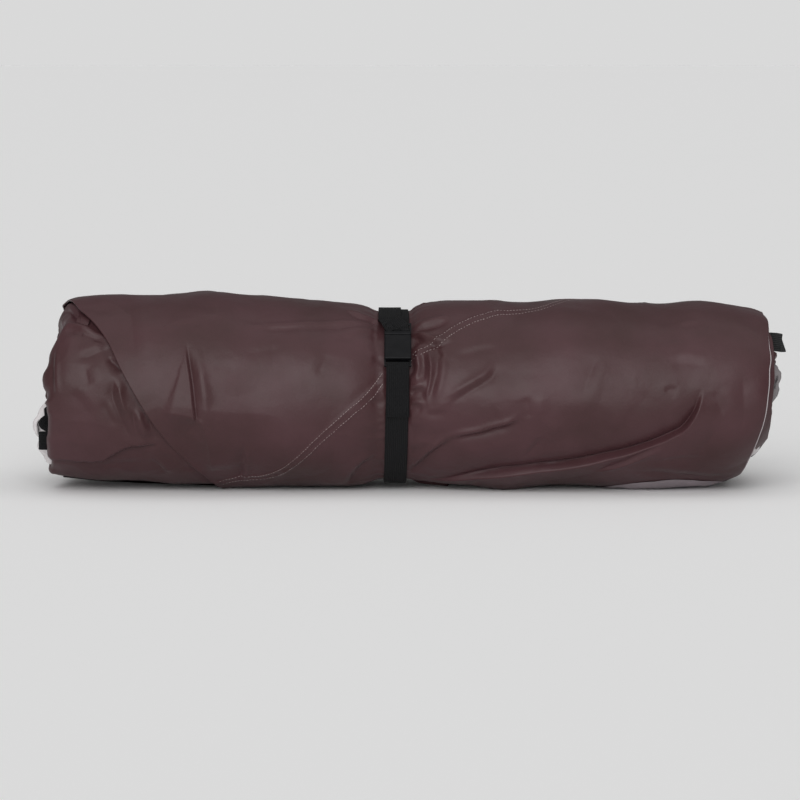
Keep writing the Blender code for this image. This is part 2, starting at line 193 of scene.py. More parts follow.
def blend(at, i, j, u, v):
    """The value between four points of a grid, at shares of the way along and across."""
    low = at(i, j) * (1 - u) + at(i + 1, j) * u
    high = at(i, j + 1) * (1 - u) + at(i + 1, j + 1) * u
    return low * (1 - v) + high * v


def noise(x, w, size, seed):
    """Smooth noise of about unit range, with features of the given size."""
    c, s = math.cos(2.4 * seed + 0.5) / size, math.sin(2.4 * seed + 0.5) / size
    u, v = c * np.asarray(x) + s * np.asarray(w) + 100, c * np.asarray(w) - s * np.asarray(x) + 100
    i, j = np.floor(u).astype(int), np.floor(v).astype(int)
    fu, fv = u - i, v - j
    fu, fv = fu**3 * (fu * (fu * 6 - 15) + 10), fv**3 * (fv * (fv * 6 - 15) + 10)
    table = np.random.default_rng(seed).uniform(-1, 1, (256, 256))
    return blend(lambda a, b: table[a % 256, b % 256], i, j, fu, fv)


def crumple(x, w, size, seed):
    """Flat facets that meet in soft creases, about 0 on average."""
    total = 0
    for k, turn in enumerate((0.35, 1.25, 2.1)):
        c, s = math.cos(turn), math.sin(turn)
        total = total + noise(c * x + s * w, c * w - s * x, size * (1.0 + 0.17 * k), seed + 100 * k)
    return 0.5 - 1.15 * np.abs(total)


def linked(points, du, dv):
    """The two ends of every link of a grid that steps by du along and dv round."""
    n, m = points.shape[:2]
    return points[: n - du, max(0, -dv) : m - max(0, dv)], points[du:, max(0, dv) : m + min(0, dv)]


def rest_lengths(points, spare_u, spare_v, skew):
    """Rest lengths of a grid's links, with spare cloth along and round the roll and a skew between the two."""
    rest = {}
    for du, dv in ((1, 0), (0, 1), (1, 1), (1, -1), (2, 0), (0, 2)):
        a, b = linked(points, du, dv)
        extra_u, extra_v, slant = (0.5 * sum(linked(s, du, dv)) for s in (spare_u, spare_v, skew))
        slanted = 0.5 * (extra_u + extra_v) - slant * dv
        extra = extra_u if dv == 0 else extra_v if du == 0 else slanted
        rest[du, dv] = np.linalg.norm(b - a, axis=-1) * (1 + extra)
    return rest


def link_groups(points, rest):
    """Views of links that share no point, so that each group can be moved at once."""
    groups = []
    for (du, dv), lengths in rest.items():
        a, b = linked(points, du, dv)
        far = max(du, abs(dv)) == 2
        step = 4 if far else 2
        for start in range(step):
            cut = (slice(start, None, step),) if du else (slice(None), slice(start, None, step))
            groups.append((a[cut], b[cut], lengths[cut], far))
    return groups


def settle(points, wanted, rest, form, normals, low, high, passes, push, squeeze, bend, grip=0.02):
    """Relaxes a grid of cloth: links keep their lengths while it is pushed in, between two offset limits.

    Friction, the grip, keeps it from creeping away sideways.
    """
    groups = link_groups(points, rest)
    for _ in range(passes):
        points -= normals * push
        for a, b, lengths, far in groups:
            gap = b - a
            length = np.sqrt(np.einsum("...k,...k", gap, gap)) + 1e-9
            over = (length - lengths) / length
            pull = over * bend if far else np.where(over > 0, over, over * squeeze)
            move = gap * (0.5 * pull)[..., None]
            a += move
            b -= move
        crept = points - wanted
        crept -= normals * np.einsum("...k,...k", crept, normals)[..., None]
        points -= grip * crept
        off = np.einsum("...k,...k", points - form, normals)
        points += normals * (np.maximum(low - off, 0) - np.maximum(off - high, 0))[..., None]
        np.maximum(points[..., 2], 0.3, out=points[..., 2])
    return points


def grid_normals(points):
    """Outward normals of a grid whose rows step along +X and whose columns step up the front."""
    return unit(np.cross(np.gradient(points, axis=0), np.gradient(points, axis=1)))


def enlarge(grid, shape):
    """A coarse grid's values at a finer grid's points, smoothly."""
    for axis, count in enumerate(shape):
        n = grid.shape[axis]
        at = np.linspace(0, n - 1, count)
        i = np.clip(np.floor(at).astype(int), 0, n - 2)
        t = (at - i).reshape([-1 if a == axis else 1 for a in range(grid.ndim)])
        a, b, c, d = (np.take(grid, np.clip(i + k, 0, n - 1), axis=axis) for k in (-1, 0, 1, 2))
        grid = cubic(a, b, c, d, t)
    return grid


def drape(x, angle, off, design, levels, push, squeeze, bend, seed):
    """Simulates a sheet on the roll, from a coarse grid to the full one.

    design gives, for x and arc length, the offset wanted, the lowest and highest offsets, the spare cloth along
    and round the roll, its skew, a slide up the roll that lets a fold hang over, and how calm the cloth is there:
    near a sharp fold only the finest grid's movement counts. The movement is softened a little at the end.
    """
    carried = None
    for stride, passes in levels:
        xs, angles, offs = (grid[::stride, ::stride] for grid in (x, angle, off))
        w = np.radians(angles) * ROUND
        form = base(xs, angles, offs)
        normals = grid_normals(form)
        up = unit(np.gradient(form, axis=1))
        rise, low, high, spare_u, spare_v, skew, slide, calm = design(xs, w)
        wanted = form + normals * rise[..., None] + up * slide[..., None]
        rest = rest_lengths(wanted, spare_u, spare_v, skew)
        if carried is None:
            points = wanted + normals * (0.6 * noise(xs, w, 9, seed) + 0.4)[..., None]
        else:
            points = wanted + enlarge(carried, xs.shape) * (1 - calm)[..., None]
        points = settle(points, wanted, rest, form, normals, low, high, passes, push * stride, squeeze, bend)
        carried = points - wanted
    soft = carried
    for axis in (0, 1):
        soft = np.apply_along_axis(smooth, axis, soft, 3.0)
    return wanted + 0.25 * carried + 0.75 * soft


def lip(edge, away, out, radius, under):
    """Rows that turn a sheet's edge under: a half circle, then a flat run back below it."""
    turns = np.radians((30, 60, 90, 120, 150, 180))
    rows = [edge + out * radius * (math.cos(t) - 1) + away * radius * math.sin(t) for t in turns]
    return rows + [edge - out * 2 * radius - away * back for back in np.linspace(0, under, 4)[1:]]


def with_lip(points, first, radius=1.0, under=7):
    """The grid with its first or else its last row turned under."""
    normals = grid_normals(points)
    if first:
        return np.array([*lip(points[0], unit(points[0] - points[2]), normals[0], radius, under)[::-1], *points])
    return np.array([*points, *lip(points[-1], unit(points[-1] - points[-3]), normals[-1], radius, under)])


# Lines in the picture, each as x and y in turn. First the slanting free edge of the outer sheet, downwards from
# the top of the left end
FLAP_EDGE = (
    66, 300, 78, 307, 97, 325, 109, 342, 121, 368, 131, 387, 142, 406, 156, 427, 170, 447, 184, 461, 204, 476,
)
# The long fold at the lower right: the cloth below it rises in a lip over the cloth above
LONG_FOLD = (
    418, 481, 450, 480.5, 472, 478.5, 514, 474, 540, 471.5, 556, 470, 584, 465.5, 600, 462, 630, 454.5, 656, 445.5,
    670, 439, 684, 430.5, 695, 415, 701, 396, 702.5, 386,
)
SECOND_FOLD = (592, 472, 612, 467, 635, 459, 655, 451, 668, 444)
PUCKER = (185, 340, 188, 362, 191, 382, 194, 408, 196, 424)
PATCH_TOP = (158, 409, 168, 412.5, 180, 414.5, 192, 417, 201, 422, 206, 434, 210, 452, 213, 474)
SEAM_LEFT = (222, 484, 246, 480, 261, 479, 277, 474, 292, 464, 306, 452, 320, 439, 349, 413.5, 368, 397, 392, 375)
SEAM_RIGHT = (396, 364, 420, 351, 436, 342, 455, 328.5, 471, 321, 485, 317, 500, 313.5)

# Grooves on the outer sheet: how deep and how wide they are, and where they run
GROOVES = (
    (2, 2.6, 240, 331, 265, 328.5, 290, 328, 312, 327, 352, 324, 384, 326), (2.4, 2.8, 345, 309, 362, 317, 384, 321),
    (0.8, 3, 170, 327, 186, 324.5, 200, 325), (1.2, 3.5, 332, 342, 359, 334, 382, 331),
    (0.5, 3, 212, 368, 224, 366.5, 237, 366), (0.7, 4, 245, 356, 262, 351, 285, 349),
    (0.8, 4, 316, 378, 323, 364, 328, 352), (1.8, 6, 128, 298, 131, 322, 134, 350, 136, 362),
    (2.8, 2.4, 244, 444, 242, 460, 240, 484), (3.2, 3.4, 347, 486, 361, 469, 379, 454),
    (1.2, 3, 372, 356, 380, 360, 388, 362), (1, 3, 370, 404, 378, 402, 388, 401),
    (4, 2.8, 409, 331, 422, 326.5, 436, 322.5, 452, 319), (4.6, 2.6, 409, 337, 422, 339.5, 436, 343, 446, 344.5),
    (2.2, 2.4, 412, 346, 424, 345.5, 436, 344.5, 456, 341), (1.8, 2.2, 434, 348, 438, 352, 442, 359),
    (2.6, 2.2, 412, 351, 411, 366, 410, 382), (4, 3.2, 422, 350, 424, 366, 423, 384),
    (2.2, 2.8, 436, 350, 437, 366, 434, 384, 429, 402), (3.6, 3.2, 409, 391, 417, 392, 427, 390),
    (1.8, 2.4, 409, 406, 416, 407, 424, 410), (1.2, 2.2, 426, 414, 436, 414, 448, 413),
    (3, 3, 446, 406, 466, 393.5, 480, 385, 492, 376.5, 500, 362),
    (0.9, 3, 452, 357, 470, 351.5, 488, 347.5, 506, 345),
    (4.4, 2.6, 446, 442, 462, 438.5, 480, 435.5, 496, 431, 512, 426.5, 528, 416),
    (3.8, 2.6, 409, 474, 426, 460, 440, 449, 459, 435), (1.5, 5, 526, 396, 528, 408, 531, 420),
    (1.3, 2.6, 526, 458, 534, 449, 544, 436), (1.3, 4, 598, 355, 590, 374, 581, 398),
    (0.7, 4, 573, 331, 590, 338, 602, 334, 612, 330), (0.9, 6, 556, 429, 573, 417, 590, 416, 617, 428),
    (0.9, 2.6, 664, 392, 671, 389, 679, 390), (0.9, 4, 670, 367, 682, 362.5, 694, 363.5, 708, 368),
    (1, 5, 714, 388, 718, 402, 725, 418), (1.8, 7, 742, 372, 744, 400, 743, 420, 738, 440),
    (0.7, 3, 680, 328, 690, 325.5, 700, 326), (0.8, 6, 654, 340, 672, 338, 692, 345),
    (0.8, 6, 724, 330, 742, 336, 757, 350), (0.9, 2.6, 653, 461.5, 672, 459, 690, 458, 710, 459),
    (1.8, 4.5, 626, 470, 666, 473, 706, 478, 736, 475),
)
# Crests, where the cloth turns downwards: how high they are, how far they reach up and down, and where they run
CRESTS = (
    (5, 30, 17, *PATCH_TOP), (1.8, 40, 28, 548, 437, 560, 425, 573, 416.5, 590, 416, 604, 420, 622, 431),
    (1, 20, 14, 430, 404, 452, 402, 470, 396, 486, 388),
)
# Ridges beside the strap: how high and how wide they are, and where they run
RIDGES = (
    (1.7, 1.8, 416.6, 349, 418.5, 366, 415.7, 384), (1.9, 1.8, 426, 346, 430.5, 362, 430.5, 380, 425, 404),
    (1.6, 2.2, 409, 399.5, 416, 400.5, 424, 403.5), (1.2, 7, 199, 362, 204, 384, 209, 410),
    (1.2, 2, 412, 334, 426, 332, 440, 328),
)

# Grooves where the picture doesn't reach: how deep and wide they are, and where they run, as x and angle in turn
HIDDEN_GROOVES = (
    (2.2, 4, -380, 100, -330, 112, -260, 116), (2.4, 3.6, -300, 138, -240, 150, -190, 158, -150, 172),
    (2, 5, -372, 176, -330, 170, -280, 174), (2.2, 4, -60, 118, -90, 124, -140, 121),
    (2.6, 4, -36, 138, -70, 142, -120, 158, -150, 180), (2, 3.2, -34, 176, -64, 180, -96, 178),
    (2.4, 4.2, -36, 205, -80, 200, -140, 212, -200, 214), (2.4, 3.4, 10, 112, 44, 104, 90, 106, 150, 98),
    (2.2, 3.2, 8, 132, 40, 140, 80, 138), (2.8, 4, 10, 160, 50, 166, 110, 152, 170, 156),
    (2.2, 3, 8, 188, 34, 196, 60, 194), (2.4, 4, 12, 214, 60, 208, 130, 218, 190, 212),
    (2, 4, 200, 120, 250, 128, 310, 122), (2.6, 4.2, 230, 182, 280, 170, 330, 176, 372, 168),
    (2, 4, 300, 204, 340, 216, 380, 212), (1.8, 5, -330, 216, -280, 226, -230, 222),
    (1.2, 4, 120, 188, 150, 196, 176, 190), (1.8, 4, 350, 130, 374, 138, 392, 134),
    (1.6, 5, -210, 92, -204, 112, -190, 130), (1.2, 5, 92, 66, 100, 84, 120, 96),
)

# Folds of the sheet below, left of the slanting edge
UNDER_GROOVES = (
    (2.6, 2.2, 52, 346, 51, 362, 51, 384, 53, 402), (5, 3.4, 58, 304, 67, 305, 79, 312, 92, 324),
    (3, 2.4, 60, 327, 70, 326.5, 84, 331, 99, 337, 108, 343), (2.4, 4, 76, 357, 88, 354, 103, 347.5, 113, 345),
    (3, 2.6, 106, 355, 114, 361, 124, 371), (3.2, 3.2, 114, 372, 112, 395, 119, 416, 127, 433, 138, 445),
    (2.6, 2.2, 132, 408, 135, 428, 145, 445), (2.4, 2.2, 147, 419, 152, 433, 157, 444),
    (1, 4, 83, 364, 86, 374, 88, 388), (1.2, 3, 102, 400, 108, 416, 118, 430),
    (1.8, 2.6, 150, 461, 157, 468, 166, 477), (1.6, 3, 164, 455, 176, 465, 190, 475),
    (1.4, 4, 95, 470, 120, 467, 146, 466), (0.8, 4, 66, 392, 80, 402, 92, 420),
)
UNDER_RIDGES = (
    (1.4, 4, 61, 321, 74, 321, 86, 324, 97, 329), (1.2, 2.4, 118.5, 384, 121, 400, 126, 416),
    (1.3, 2.4, 139, 413, 142, 424, 147, 436),
)
UNDER_HEM = (44, 460, 62, 461, 82, 462, 102, 461, 113, 455, 127, 448, 144, 446, 160, 447)


def groove(rise, x, w, place, depth, width, *line):
    """Adds a crease: the cloth falls sharply to it on its left and slowly on its right, and it fades at its ends."""
    inside, d, t = near_line(x, w, place(line), 9 * width)
    strength = depth * taper(t)
    reach = np.where(d > 0, width, 2.6 * width) * (0.7 + 0.6 * t)
    edge = fade(9 * width - np.abs(d), 0, 3 * width)
    bank = 0.55 * hump(d - 2.6 * width, 1.5 * width)
    rise[inside] += strength * edge * (bank - np.exp(-(np.sqrt(d * d + 0.8) - 0.9) / reach))


def fold_step(d, lip_height, lip_reach, sink, sink_reach, half=2.5):
    """A step between a lip, on the right of a line, and the sunken cloth on its left."""
    lip_side = lip_height * decay(-d - half, lip_reach)
    sunk_side = -sink * decay(d - half, sink_reach)
    share = fade(d, -half, half)
    return lip_side * (1 - share) + sunk_side * share


def arc(points):
    """A line given as x and angle, as x and arc length."""
    x, angle = np.reshape(np.array(points, float), (-1, 2)).T
    return catmull(np.column_stack([x, np.radians(angle) * ROUND]), 5)


def crest(rise, x, w, place, height, up, down, *line):
    """Adds a crest: the cloth swells slowly up to a line and then turns down and in below it."""
    inside, d, t = near_line(x, w, place(line), 5 * down)
    below = (2 * decay(-d, down) - 1) * (1 - fade(-d, 2.0 * down, 5 * down))
    above = decay(d, up) * (1 - fade(d, 2.0 * down, 5 * down))
    rise[inside] += height * taper(t, 0.15, 0.85) * np.where(d < 0, below, above)


def ridge(rise, x, w, place, height, width, *line):
    """Adds a rounded ridge that fades at its ends."""
    inside, d, t = near_line(x, w, place(line), 4 * width)
    rise[inside] += height * hump(d, width) * taper(t)


def add_folds(rise, x, w, *kinds):
    """Adds whole tables of folds: their shape, what their lines are given in, and the table."""
    for shape, place, table in kinds:
        for row in table:
            shape(rise, x, w, place, *row)


def left_edge(angle):
    """x of the outer sheet's left edge: it slants down the front, and runs straight round the back."""
    edge = seen(FLAP_EDGE)
    angles = np.degrees(edge[:, 1] / ROUND)
    x = np.interp(angle, angles[::-1], edge[::-1, 0])
    x = np.where(angle < angles[-1], edge[-1, 0] + (angles[-1] - angle) * 0.9, x)
    behind = -386.5 + 1.8 * noise(angle * 1.9, 0, 40, 3)
    return np.where(angle > angles[0], np.minimum(behind, edge[0, 0] - 3), x)


def on_outer(x, w):
    """The design of the outer sheet."""
    front = fade(np.cos(w / ROUND), -0.2, 0.3)
    rise = 1.3 * noise(x, w, 95, 11) + 1.5 * crumple(x, w, 88, 12) - 1.1 * crumple(x, w, 61, 14)
    rise += (0.7 - 0.4 * front) * crumple(x, w, 33, 13)
    slide = np.zeros_like(rise)
    past_edge = x - left_edge(np.degrees(w / ROUND))
    rise += 1.4 * front * decay(past_edge, 9)
    calm = np.zeros_like(rise)
    inside, d, t = near_line(x, w, seen(LONG_FOLD), 90)
    strength = taper(t, 0.3, 0.86)
    rise[inside] += strength * fold_step(d, 5.0, 24, 8.5, 15)
    slide[inside] += 4.2 * strength * hump(d + 3.0, 4.2)
    calm[inside] = np.maximum(calm[inside], hump(d, 22))
    inside, d, t = near_line(x, w, seen(SECOND_FOLD), 30)
    strength = taper(t)
    rise[inside] += strength * fold_step(d, 2.0, 6, 2.4, 5)
    slide[inside] += 2.0 * strength * hump(d + 3.0, 4.2)
    inside, d, t = near_line(x, w, seen(PUCKER), 30)
    strength = taper(t, 0.35, 0.92)
    rise[inside] += strength * (fold_step(d, 1.6, 9, 3.4, 3.0 + 2.0 * t, 1.4) + hump(d - 12, 5))
    calm[inside] = np.maximum(calm[inside], hump(d, 12))
    add_folds(rise, x, w, (crest, seen, CRESTS), (groove, seen, GROOVES), (ridge, seen, RIDGES))
    add_folds(rise, x, w, (groove, arc, HIDDEN_GROOVES))
    for line in (SEAM_LEFT, SEAM_RIGHT):
        inside, d, t = near_line(x, w, seen(line), 16)
        ripples = 0.5 + 0.5 * noise(t * 260, 0, 7, 61)
        rise[inside] += 0.9 * fade(6.0 - np.abs(d), 0, 2) - 1.3 * ripples * hump(d + 0.6, 2.2)
    past = np.abs(x - STRAP_X) - WEBBING_WIDTH / 2 - 0.5
    near = decay(past, 17) * fade(past, -4, 4)
    fan = np.abs(noise(w + 0.12 * x, x * 0.28, 13, 21))
    rise += near * np.where(x > STRAP_X, 1.0 - 0.5 * front, 0.6 - 0.25 * front) * (2.4 - 7.5 * fan)
    rise -= 1.8 * (1 - fade(w / ROUND - math.radians(SLIT), 0.04, 0.2))
    low, high = rise - 0.35, rise + 1.6
    reach = np.where(x < STRAP_X, 12 + 10 * fade(w, 40, 90), 12)
    held = 1 - fade(np.abs(x - STRAP_X), reach, reach + 4)
    rise, low, high = (a * (1 - held) + b * held for a, b in ((rise, 0), (low, -1.0), (high, 0.05)))
    spare = 0.003 + 0.003 * noise(x, w, 120, 31) + 0.003 * (1 - front)
    spare_v = spare + 0.018 * decay(past, 24)
    skew = np.where(x > STRAP_X, 1.0, -0.5) * (0.010 + 0.012 * noise(x, w, 90, 33)) * (0.7 - 0.45 * front)
    return rise, low, high, spare, spare_v, skew, slide, calm


# x of the outer sheet's right edge, by angle
RIGHT_EDGE = ((-90, 360), (-75, 368), (-60, 377), (-45, 387), (-30, 390.5), (0, 392.5), (10, 392.5), (30, 392.5))
RIGHT_EDGE += ((45, 395), (60, 395.5), (80, 392), (120, 393), (180, 392), (230, 388), (270, 372))


def outer_grid(rows, columns):
    """x and angle of the outer sheet's points: a slanting left edge on the front, and a rounded right rim.

    The grid's columns lie closer on the front, and there they run along the long fold.
    """
    t = np.linspace(0, 1, columns)
    spread = t + 0.055 * np.sin(2 * np.pi * (t + 0.25))
    spread = (spread - spread[0]) / (spread[-1] - spread[0])
    angle = SLIT - OVERLAP + (360 + 2 * OVERLAP) * spread
    left = smooth(left_edge(angle), 1.2)
    right = smooth(np.interp(angle, *np.transpose(RIGHT_EDGE)), 3) + 1.2 * noise(angle * 1.9, 0, 35, 8)
    s = np.linspace(0, 1, rows)[:, None]
    x = left[None, :] * (1 - s) + right[None, :] * s
    fold = seen(LONG_FOLD)
    height = smooth(np.interp(DENSE_X, fold[:-6, 0], np.degrees(fold[:-6, 1] / ROUND)), 4)
    middle = 0.5 * (height[0] + height[-1])
    share = np.interp(angle, (SLIT, middle - 6, middle + 6, middle + 115, 300), (0, 1, 1, 0, 0))
    share = smooth(share, columns / 90) * fade(angle - SLIT, 2, 10)
    return x, angle + (np.interp(x, DENSE_X, height) - middle) * share * fade(x, -150, 0)


def on_under(x, w):
    """The design of the sheet below, left of the slanting edge."""
    rise = 1.3 * noise(x, w, 60, 41) + 1.4 * crumple(x, w, 54, 42) + 0.5 * crumple(x, w, 27, 48)
    slide = np.zeros_like(rise)
    add_folds(rise, x, w, (groove, seen, UNDER_GROOVES), (ridge, seen, UNDER_RIDGES))
    inside, d, t = near_line(x, w, seen(UNDER_HEM), 60)
    strength = taper(t, 0.1, 0.85)
    above = np.where(d > 0, 3.6 * decay(d, 36), 0) * fade(d, -1.0, 1.5)
    below = np.where(d < 1, -3.8 * decay(-d, 16), 0) * fade(-d, -1.5, 1.0)
    rise[inside] += strength * (above + below) * fade(60 - np.abs(d), 0, 34)
    slide[inside] -= 2.6 * strength * hump(d - 1.5, 3.0)
    front = fade(np.cos(w / ROUND), 0.0, 0.4)
    past_edge = x - left_edge(np.degrees(w / ROUND))
    rise -= 2.6 * front * fade(past_edge, -16, -2) + 4.0 * fade(past_edge, 2, 26)
    rise -= 1.5 * (1 - fade(w / ROUND - math.radians(SLIT), 0.04, 0.2))
    end = fade(-x, 380, 402)
    rise += end * (1.6 - 5.0 * np.abs(noise(w, x * 0.3, 18, 45)))
    spare = 0.004 + 0.004 * noise(x, w, 60, 46)
    skew = 0.006 * noise(x, w, 50, 49)
    calm = np.zeros_like(rise)
    calm[inside] = hump(d, 14)
    return rise, rise - 0.4, rise + 1.6, spare, spare + 0.01 * end, skew, slide, calm


def in_scene(name, data):
    """A new object of the scene."""
    obj = bpy.data.objects.new(name, data)
    bpy.context.scene.collection.objects.link(obj)
    return obj


def mesh_of(name, points, faces, uv=None):
    mesh = bpy.data.meshes.new(name)
    points = np.asarray(points).reshape(-1, 3) * MM
    points[:, 2] = np.maximum(points[:, 2], 0)
    mesh.from_pydata(points.tolist(), [], faces)
    if uv is not None:
        layer = mesh.uv_layers.new(name="UVMap")
        index = np.empty(len(mesh.loops), np.int32)
        mesh.loops.foreach_get("vertex_index", index)
        layer.data.foreach_set("uv", (np.asarray(uv).reshape(-1, 2)[index] * MM).astype(np.float32).ravel())
    obj = in_scene(name, mesh)
    mesh.shade_smooth()
    return obj


def grid_faces(rows, columns, start=0, closed=False):
    """Quads of a grid whose rows step along +X and whose columns step up the front, facing out."""
    i, j = np.meshgrid(np.arange(rows - 1), np.arange(columns if closed else columns - 1), indexing="ij")
    a, b = start + i * columns + j, start + i * columns + (j + 1) % columns
    return np.stack([a, a + columns, b + columns, b], axis=-1).reshape(-1, 4).tolist()


def grid_object(name, points, uv=None):
    return mesh_of(name, points, grid_faces(*points.shape[:2]), uv)


def joined(name, parts):
    """One mesh of several parts, each given as its points and its faces."""
    faces, count = [], 0
    for points, part_faces in parts:
        faces += (np.array(part_faces) + count).tolist()
        count += len(points)
    return mesh_of(name, np.vstack([points for points, _ in parts]), faces)


def make_outer_sheets():
    """The outer sheet is simulated whole, and its mesh is parted under the strap."""
    rows, columns = ((521, 329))
    x, angle = outer_grid(rows, columns)
    levels = (((4, 500), (2, 300), (1, 120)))
    points = drape(x, angle, 0 * x, on_outer, levels, 0.004, 0.8, 0.015, 2)
    middle = int(np.abs(x.mean(1) - STRAP_X).argmin())
    left = grid_object("outer_sheet_left", with_lip(points[: middle + 1], first=True))
    right = grid_object("outer_sheet_right", with_lip(points[middle:], first=False))
    return (left, right), points, x, angle


# The sheet below at the left: where it starts under the outer sheet, and by angle how far it reaches past the roll's
# left end, how far it runs in over that end, and how widely it bends there
UNDER_START = -206.0
UNDER_TIP = (
    (-90, -398), (-75, -400), (-60, -398.5), (-46, -395), (-31, -396.5), (-10, -396.5), (0, -398), (8, -399.5),
    (20, -403), (30, -402), (41, -397), (50, -388), (57, -384.5), (69, -383), (75, -388), (90, -392), (120, -396),
    (180, -397), (270, -393),
)
UNDER_RUN = ((-90, 20), (-66, 6), (-50, 1), (-12, 1), (4, 8), (20, 22), (90, 26), (180, 24), (270, 20))
UNDER_BEND = ((-90, 4), (-70, 4), (-40, 6), (0, 9), (60, 11), (90, 12), (180, 12), (240, 7), (270, 4))


def make_under_sheet():
    """The sheet below at the left, which turns round the roll's rim on to its end."""
    rows, columns = ((161, 329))
    angle = np.linspace(SLIT - OVERLAP, SLIT + 360 + OVERLAP, columns)[None, :]
    tables = (UNDER_TIP, UNDER_RUN, UNDER_BEND)
    tip, run, r = (smooth(np.interp(angle[0], *np.transpose(table)), 2.5) for table in tables)
    tip = tip + noise(angle[0] * 1.9, 0, 30, 47)
    bend = math.radians(98)
    straight = UNDER_START - tip - r
    s = (straight + r * bend + run) * np.linspace(1, 0, rows)[:, None]
    turn = np.clip((s - straight) / r, 0, bend)
    past = np.maximum(s - straight - r * bend, 0)
    x = UNDER_START - np.minimum(s, straight) - r * np.sin(turn) + 0.1 * past
    off = INSIDE - r * (1 - np.cos(turn)) - past
    angle = np.broadcast_to(angle, x.shape).copy()
    levels = (((4, 300), (2, 200), (1, 80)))
    points = drape(x, angle, off, on_under, levels, 0.004, 0.7, 0.02, 3)
    return grid_object("under_sheet", points)


def on_sheet(sheet, x, w):
    """Places and outward normals on a simulated sheet at x and arc length."""
    points, grid_x, grid_angle, normals = sheet
    rows, columns = points.shape[:2]
    angle = np.degrees(w / ROUND)
    i = np.full(len(x), rows / 2)
    for _ in range(4):
        nearest = grid_angle[np.round(i).astype(int)]
        j = np.array([np.interp(a, row, np.arange(columns)) for a, row in zip(angle, nearest)])
        j = np.clip(j, 0, columns - 1.001)
        left, right = (np.interp(j, np.arange(columns), grid_x[k]) for k in (0, -1))
        i = np.clip((x - left) / (right - left) * (rows - 1), 0, rows - 1.001)
    i0, j0 = i.astype(int), j.astype(int)
    shares = ((i - i0)[:, None], (j - j0)[:, None])
    return [blend(lambda a, b: grid[a, b], i0, j0, *shares) for grid in (points, normals)]


def evenly(line, pitch):
    """Points along a curve at an even pitch, and the curve's direction there."""
    passed = lengths_along(line)
    at = np.arange(0, passed[-1], pitch)
    points = np.column_stack([np.interp(at, passed, column) for column in line.T])
    return points, unit(np.gradient(points, axis=0))


STITCH_RINGS = ((-1.0, 0.0), (-0.94, 0.55), (-0.75, 0.9), (0.0, 1.0), (0.75, 0.9), (0.94, 0.55), (1.0, 0.0))


def stitches(centres, along, out, length, radius, sink=0.35):
    """Small rounded stitches: each dips into the cloth at its ends."""
    across = np.cross(along, out)
    points, faces = [], []
    turns = np.radians(np.arange(0, 360, 60))
    for share, size in STITCH_RINGS:
        rise = radius * (0.5 - 1.6 * share * share) - sink * radius
        middle = centres + along * (0.5 * length * share) + out * rise
        ring = [middle + radius * size * (across * math.cos(t) + out * math.sin(t)) for t in turns]
        points.append(np.stack(ring, axis=1))
    points = np.stack(points, axis=1)
    count = points.shape[1] * points.shape[2]
    for s in range(len(centres)):
        faces += grid_faces(len(STITCH_RINGS), 6, s * count, closed=True)
    return points.reshape(-1, 3), faces


# Half the way between the seam's two rows of stitches
SEAM_HALF = 3.9


def seam_line():
    """The diagonal double seam: up the front, under the strap, over the top and down the back."""
    over = np.array(((150, 74), (176, 90), (214, 114), (262, 150), (300, 186), (322, 216)), float)
    over[:, 1] = np.radians(over[:, 1]) * ROUND
    return catmull(np.vstack([seen(SEAM_LEFT)[:-3:5], seen(SEAM_RIGHT)[::5], over]), 8)


def make_seam(sheet, finish):
    """Two rows of stitches along the seam, on the simulated sheet."""
    rows = []
    for side in (-SEAM_HALF, SEAM_HALF):
        line, along = evenly(seam_line(), 3.7)
        line = line + side * np.column_stack([-along[:, 1], along[:, 0]])
        line = line[np.abs(line[:, 0] - STRAP_X) > WEBBING_WIDTH / 2 + 1]
        places, out = on_sheet(sheet, line[:, 0], line[:, 1])
        steps = np.diff(places, axis=0)
        way = unit(np.vstack([steps, steps[-1:]]))
        keep = np.append(np.linalg.norm(steps, axis=1) < 8, True)
        rows.append(stitches(places[keep], way[keep], out[keep], 3.0, 0.30))
    return use(joined("seam_stitches", rows), finish, "tent_fabric")


def waist_point(angle, lift):
    """A point on the strap's path round the waist, and the direction out of it."""
    top, bottom, depth = WAIST
    half = (top - bottom + FLATTENING) / 2
    axis = top - half
    lowest = (axis - bottom) / FLAP_SHARE

    def at(a):
        turn = math.radians(a)
        return Vector((STRAP_X, -depth * math.cos(turn), axis + max(half * math.sin(turn), -lowest)))

    along = (at(angle + 1) - at(angle - 1)).normalized()
    out = Vector((0, -along.z, along.y))
    return at(angle) + out * lift, out


def on_buckle(along, height):
    """A point in the middle of the buckle: along is up the strap and height is out of it."""
    at, out = waist_point(BUCKLE_ANGLE, 0)
    return at + Vector((0, out.z, -out.y)) * along + out * height


def round_bar(bar, first, last, steps):
    along, height, radius = bar
    reach = radius + TOUCH + THICKNESS / 2
    turns = np.radians(np.linspace(first, last, steps))
    return [on_buckle(along + reach * math.cos(t), height + reach * math.sin(t)) for t in turns]


def over_tail(angle):
    return np.interp(angle, (-155, -145, -70, -60), (0, 2.4, 2.4, 0))


